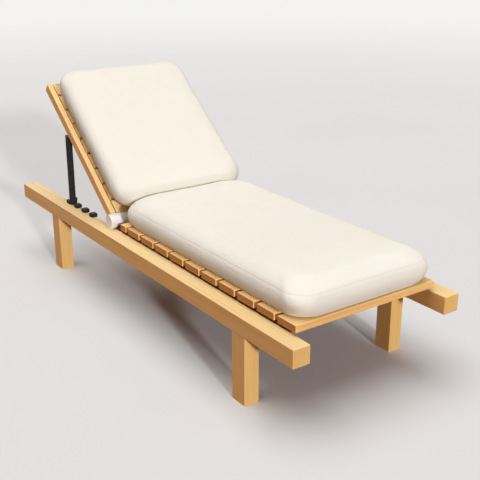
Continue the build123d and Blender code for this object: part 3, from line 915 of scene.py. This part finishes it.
def soften(piece, plan):
    """Soft hollows over the faces, and small puckers where the seams draw the cover in."""
    normals = np.array([v.normal for v in piece.data.vertices])
    points = points_of(piece)
    width, length, _ = plan["size"]
    top_seam = plan["seam_heights"][0]
    depth = np.zeros(len(points))
    for index, (x, y, z) in enumerate(points):
        place = Vector((x, y, z))
        depth[index] += HOLLOW_DEPTH * noise.noise(place * HOLLOW_SCALE)
        depth[index] += RIPPLE_DEPTH * noise.noise(place * RIPPLE_SCALE)
        near = max(bell(z - height, PUCKER_REACH) for height in plan["seam_heights"])
        from_corner = math.hypot(width / 2 - abs(x), length / 2 - abs(y))
        corner = max(0.0, 1 - from_corner / CORNER_PUCKER_REACH)
        pucker = PUCKER_DEPTH + CORNER_PUCKER_DEPTH * corner
        pucker_place = Vector((x, y, PUCKER_UPRIGHT_SHARE * z)) * PUCKER_SCALE
        depth[index] += pucker * near * noise.noise(pucker_place)
        upright = min(1.0, 2 * (1.0 - abs(normals[index][2])))
        depth[index] -= GROOVE_DEPTH * bell(z - top_seam, GROOVE_REACH) * upright
    depth[points[:, 2] < RESTING_HEIGHT] = 0.0
    set_points(piece, points + normals * depth[:, None])


def smooth_faces(piece):
    for polygon in piece.data.polygons:
        polygon.use_smooth = True


def ring_on_surface(plan, height):
    """Points and normals round the cushion at one height, on its cover."""
    piece = plan["piece"]
    tree = BVHTree.FromPolygons(
        [v.co.copy() for v in piece.data.vertices],
        [tuple(p.vertices) for p in piece.data.polygons],
    )
    width, length, _ = plan["size"]
    half_width, half_length = width / 2 + RAY_START, length / 2 + RAY_START
    outline = rounded_outline(half_width, half_length, plan["corner"] + RAY_START, SEAM_STEPS)
    found = []
    for index, point in enumerate(outline):
        following = outline[(index + 1) % len(outline)]
        previous = outline[index - 1]
        along = (following - previous).normalized()
        inward = Vector((-along.y, along.x, 0.0))
        start = Vector((point.x, point.y, height))
        hit, normal, _, _ = tree.ray_cast(start, inward)
        if hit is not None:
            found.append((hit, normal))
    return even_ring(found)


def even_ring(found):
    """Resamples a closed line to even steps, and smooths its normals."""
    lengths = [0.0]
    for index in range(len(found)):
        step = (found[(index + 1) % len(found)][0] - found[index][0]).length
        lengths.append(lengths[-1] + step)
    count = round(lengths[-1] / RING_SPACING)
    ring = []
    index = 0
    for number in range(count):
        target = lengths[-1] * number / count
        while lengths[index + 1] < target:
            index += 1
        share = (target - lengths[index]) / max(lengths[index + 1] - lengths[index], TINY)
        first, second = found[index % len(found)], found[(index + 1) % len(found)]
        normal = first[1].lerp(second[1], share).normalized()
        ring.append((first[0].lerp(second[0], share), normal))
    reach = RING_SMOOTHING_POINTS
    smoothed = []
    for number, (point, _) in enumerate(ring):
        around = [ring[(number + k) % count] for k in range(-reach, reach + 1)]
        middle = sum((p for p, _ in around), Vector()) / len(around)
        normal = sum((n for _, n in around), Vector()).normalized()
        smoothed.append((point.lerp(middle, RING_SMOOTHING_SHARE), normal))
    return smoothed


def mesh_piece(name, verts, faces, material):
    data = bpy.data.meshes.new(name)
    data.from_pydata(verts, [], faces)
    data.validate()
    data.update()
    data.materials.append(material)
    piece = new_object(name, data)
    smooth_faces(piece)
    return piece


def sweep(ring, section):
    """Vertices and faces of a closed strip: section gives (out, up) offsets at each point of the ring."""
    verts, faces = [], []
    count, size = len(ring), len(section)
    for number, (point, normal) in enumerate(ring):
        along = (ring[(number + 1) % count][0] - ring[number - 1][0]).normalized()
        up = normal.cross(along).normalized()
        if up.z < 0:
            up = -up
        verts += [point + normal * out + up * rise for out, rise in section]
    for number in range(count):
        following = (number + 1) % count
        for k in range(size):
            after = (k + 1) % size
            near, far = number * size, following * size
            faces.append((near + k, far + k, far + after, near + after))
    return verts, faces


def seam_band(name, ring, material):
    """The flat-felled seam: a narrow doubled strip of the cover."""
    half = SEAM_BAND / 2
    lower = [
        (-SEAM_SINK, -half),
        (SEAM_EDGE_SHARE * SEAM_RISE, -half),
        (SEAM_RISE, -half + SEAM_FOLD / 2),
        (SEAM_INNER_SHARE * SEAM_RISE, -half + SEAM_FOLD),
    ]
    upper = [(out, -rise) for out, rise in reversed(lower)]
    verts, faces = sweep(ring, lower + [(SEAM_MIDDLE_SHARE * SEAM_RISE, 0.0)] + upper)
    return mesh_piece(name, verts, faces, material)


def stitch_points(middle, along, up, normal):
    """Rings of points along one stitch, whose ends are thin and sink into the seam."""
    points = []
    for place, girth, sink in STITCH_PROFILE:
        centre = middle + along * place * STITCH_LENGTH - normal * sink
        for side in range(STITCH_SIDES):
            turn = 2 * math.pi * side / STITCH_SIDES
            offset = normal * math.cos(turn) + up * math.sin(turn)
            points.append(centre + offset * STITCH_RADIUS * girth)
    return points


def stitch_faces(first):
    """Faces of one stitch, whose points start at the index first."""
    faces = []
    levels = [first + level * STITCH_SIDES for level in range(len(STITCH_PROFILE))]
    for low, high in zip(levels, levels[1:]):
        for side in range(STITCH_SIDES):
            after = (side + 1) % STITCH_SIDES
            faces.append((low + side, low + after, high + after, high + side))
    faces.append(tuple(levels[0] + side for side in range(STITCH_SIDES))[::-1])
    faces.append(tuple(levels[-1] + side for side in range(STITCH_SIDES)))
    return faces


def stitch_rows(name, ring, material):
    """Two rows of short stitches along the edges of the seam."""
    verts, faces = [], []
    count = len(ring)
    total = sum((ring[(i + 1) % count][0] - ring[i][0]).length for i in range(count))
    stitches = round(total / STITCH_PITCH)
    for number in range(stitches):
        position = count * number / stitches
        index = int(position)
        share = position - index
        before, here, following = ring[index - 1], ring[index], ring[(index + 1) % count]
        point = here[0].lerp(following[0], share)
        normal = here[1].lerp(following[1], share).normalized()
        along = (following[0] - before[0]).normalized()
        up = normal.cross(along).normalized()
        for row in (-1, 1):
            middle = point + up * row * (SEAM_BAND / 2 - SEAM_FOLD) + normal * STITCH_HEIGHT
            faces += stitch_faces(len(verts))
            verts += stitch_points(middle, along, up, normal)
    return mesh_piece(name, verts, faces, material)


def piping(name, ring, material):
    """The corded edge round the bottom of the cushion."""
    section = []
    for side in range(PIPING_SIDES):
        turn = 2 * math.pi * side / PIPING_SIDES
        out = PIPING_RADIUS * (PIPING_PROUD_SHARE + math.cos(turn))
        section.append((out, PIPING_RADIUS * math.sin(turn)))
    verts, faces = sweep(ring, section)
    return mesh_piece(name, verts, faces, material)


def plan_cushion(node, own):
    """Size and place of a cushion from its CAD solid, and the remeshed form that it starts from."""
    points = [v.co for v in frame["nodes"][node].data.vertices]
    middle, half = own_box(points, own["turn"], HINGE)
    side_in, foot_in = own["inside"]
    size = (2 * half[0] - side_in, 2 * half[1] - foot_in, 2 * half[2] - CROWN)
    base = middle + Matrix.Rotation(own["turn"], 3, "X") @ Vector((side_in / 2, foot_in / 2, -half[2]))
    piece = cushion_start(node + "_cover", size, own)
    remesh(piece)
    seam_heights = (own["seam_share"] * size[2], BOTTOM_SEAM_HEIGHT)
    return {**own, "node": node, "size": size, "base": base, "piece": piece, "seam_heights": seam_heights}


def sew_cushion(plan):
    """Gives a swollen cover its size, seams and cloth, and puts it in its place."""
    piece, node = plan["piece"], plan["node"]
    fit_to_size(piece, plan["size"])
    soften(piece, plan)
    subdivision = piece.modifiers.new("Subdivision", "SUBSURF")
    subdivision.levels = 1
    subdivision.render_levels = 1
    cover = fabric("fabric_" + node, plan["base"], plan["turn"], plan["painted_shade_tone"], plan["low_shade_filter"])
    piece.data.materials.append(cover)
    smooth_faces(piece)
    top_ring, low_ring = [ring_on_surface(plan, height) for height in plan["seam_heights"]]
    pieces = [
        piece,
        seam_band(node + "_seam", top_ring, cover),
        stitch_rows(node + "_stitches", top_ring, thread("thread_" + node)),
        piping(node + "_piping", low_ring, cover),
    ]
    place = Matrix.Translation(plan["base"]) @ Matrix.Rotation(plan["turn"], 4, "X")
    for made in pieces:
        made.data.transform(place)
        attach(made, plan["body"])
    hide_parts(node)


def make_cushions():
    plans = [plan_cushion(node, own) for node, own in CUSHIONS.items()]
    swell(plans)
    for plan in plans:
        sew_cushion(plan)


# Camera, lights and floor
def make_camera():
    forward = Vector((
        math.sin(CAMERA_YAW) * math.cos(CAMERA_PITCH),
        math.cos(CAMERA_YAW) * math.cos(CAMERA_PITCH),
        -math.sin(CAMERA_PITCH),
    ))
    level_right = Vector((math.cos(CAMERA_YAW), -math.sin(CAMERA_YAW), 0.0))
    level_up = level_right.cross(forward)
    right = level_right * math.cos(CAMERA_ROLL) + level_up * math.sin(CAMERA_ROLL)
    up = level_up * math.cos(CAMERA_ROLL) - level_right * math.sin(CAMERA_ROLL)
    data = bpy.data.cameras.new("camera")
    data.sensor_width = SENSOR_MILLIMETRES
    data.lens = CAMERA_FOCAL_PIXELS / PHOTO_PIXELS * SENSOR_MILLIMETRES
    data.clip_end = CAMERA_CLIP_END
    camera = new_object("camera", data)
    turn = Matrix((right, up, -forward)).transposed().to_4x4()
    camera.matrix_world = Matrix.Translation(CAMERA_PLACE) @ turn
    bpy.context.scene.camera = camera


def sun(name, direction, level, spread, colour):
    data = bpy.data.lights.new(name, "SUN")
    data.energy = level * math.pi
    data.angle = spread
    data.color = colour
    lamp = new_object(name, data)
    lamp.rotation_mode = "QUATERNION"
    lamp.rotation_quaternion = direction.to_track_quat("Z", "Y")


def seen_rays(tree):
    """1 for the rays that show a surface or the background as it is, and 0 for those that light others."""
    rays = add(tree, "LightPath").outputs
    seen = calc(tree, "MAXIMUM", rays["Is Camera Ray"], rays["Is Glossy Ray"])
    return calc(tree, "MAXIMUM", seen, rays["Is Transmission Ray"])


def make_world():
    world = bpy.data.worlds.new("studio")
    world.use_nodes = True
    tree = world.node_tree
    tree.nodes.clear()
    ambient = add(tree, "Background", {"Color": (*AMBIENT_COLOUR, 1.0), "Strength": AMBIENT_LEVEL})
    shown = add(tree, "Background", {"Color": (*BACKGROUND_COLOUR, 1.0), "Strength": 1.0})
    mixed = add(tree, "MixShader", {0: seen_rays(tree), 1: ambient.outputs[0], 2: shown.outputs[0]})
    add(tree, "OutputWorld", {"Surface": mixed.outputs[0]})
    bpy.context.scene.world = world


def make_floor():
    """A pale floor that melts into the background a few metres from the object."""
    material, tree, shader = new_material("floor")
    place = add(tree, "TexCoord").outputs["Object"]
    seen = seen_rays(tree)
    cloud = noise_at(tree, place, FLOOR_CLOUD_SCALE)
    shaded = scaled(FLOOR_COLOUR, FLOOR_SHADE)
    pale = blend_colours(tree, fade(tree, cloud, CLOUD_SPAN), FLOOR_COLOUR, shaded)
    feed(tree, shader, {
        "Base Color": blend_colours(tree, seen, FLOOR_BOUNCE, pale),
        "Roughness": FLOOR_ROUGHNESS,
        "Specular IOR Level": FLOOR_SPECULAR,
    })
    distance = add(tree, "VectorMath", {0: place}, operation="LENGTH").outputs["Value"]
    far = calc(tree, "MULTIPLY", fade(tree, distance, (FLOOR_FADE_START, FLOOR_FADE_END)), seen)
    haze = add(tree, "Emission", {"Color": (*BACKGROUND_COLOUR, 1.0), "Strength": 1.0})
    mixed = add(tree, "MixShader", {0: far, 1: shader.outputs[0], 2: haze.outputs[0]})
    output = next(made for made in tree.nodes if made.type == "OUTPUT_MATERIAL")
    tree.links.new(mixed.outputs[0], output.inputs[0])
    half = FLOOR_SIZE / 2
    corners = [(-half, -half, 0), (half, -half, 0), (half, half, 0), (-half, half, 0)]
    floor = mesh_piece("floor", corners, [(0, 1, 2, 3)], material)


make_camera()
make_world()
make_floor()
sun("key", KEY_DIRECTION, KEY_LEVEL, KEY_SPREAD, KEY_COLOUR)
sun("overhead", OVERHEAD_DIRECTION, OVERHEAD_LEVEL, OVERHEAD_SPREAD, OVERHEAD_COLOUR)
bpy.context.scene.view_settings.view_transform = "Standard"
dress_cad_pieces()
make_cushions()
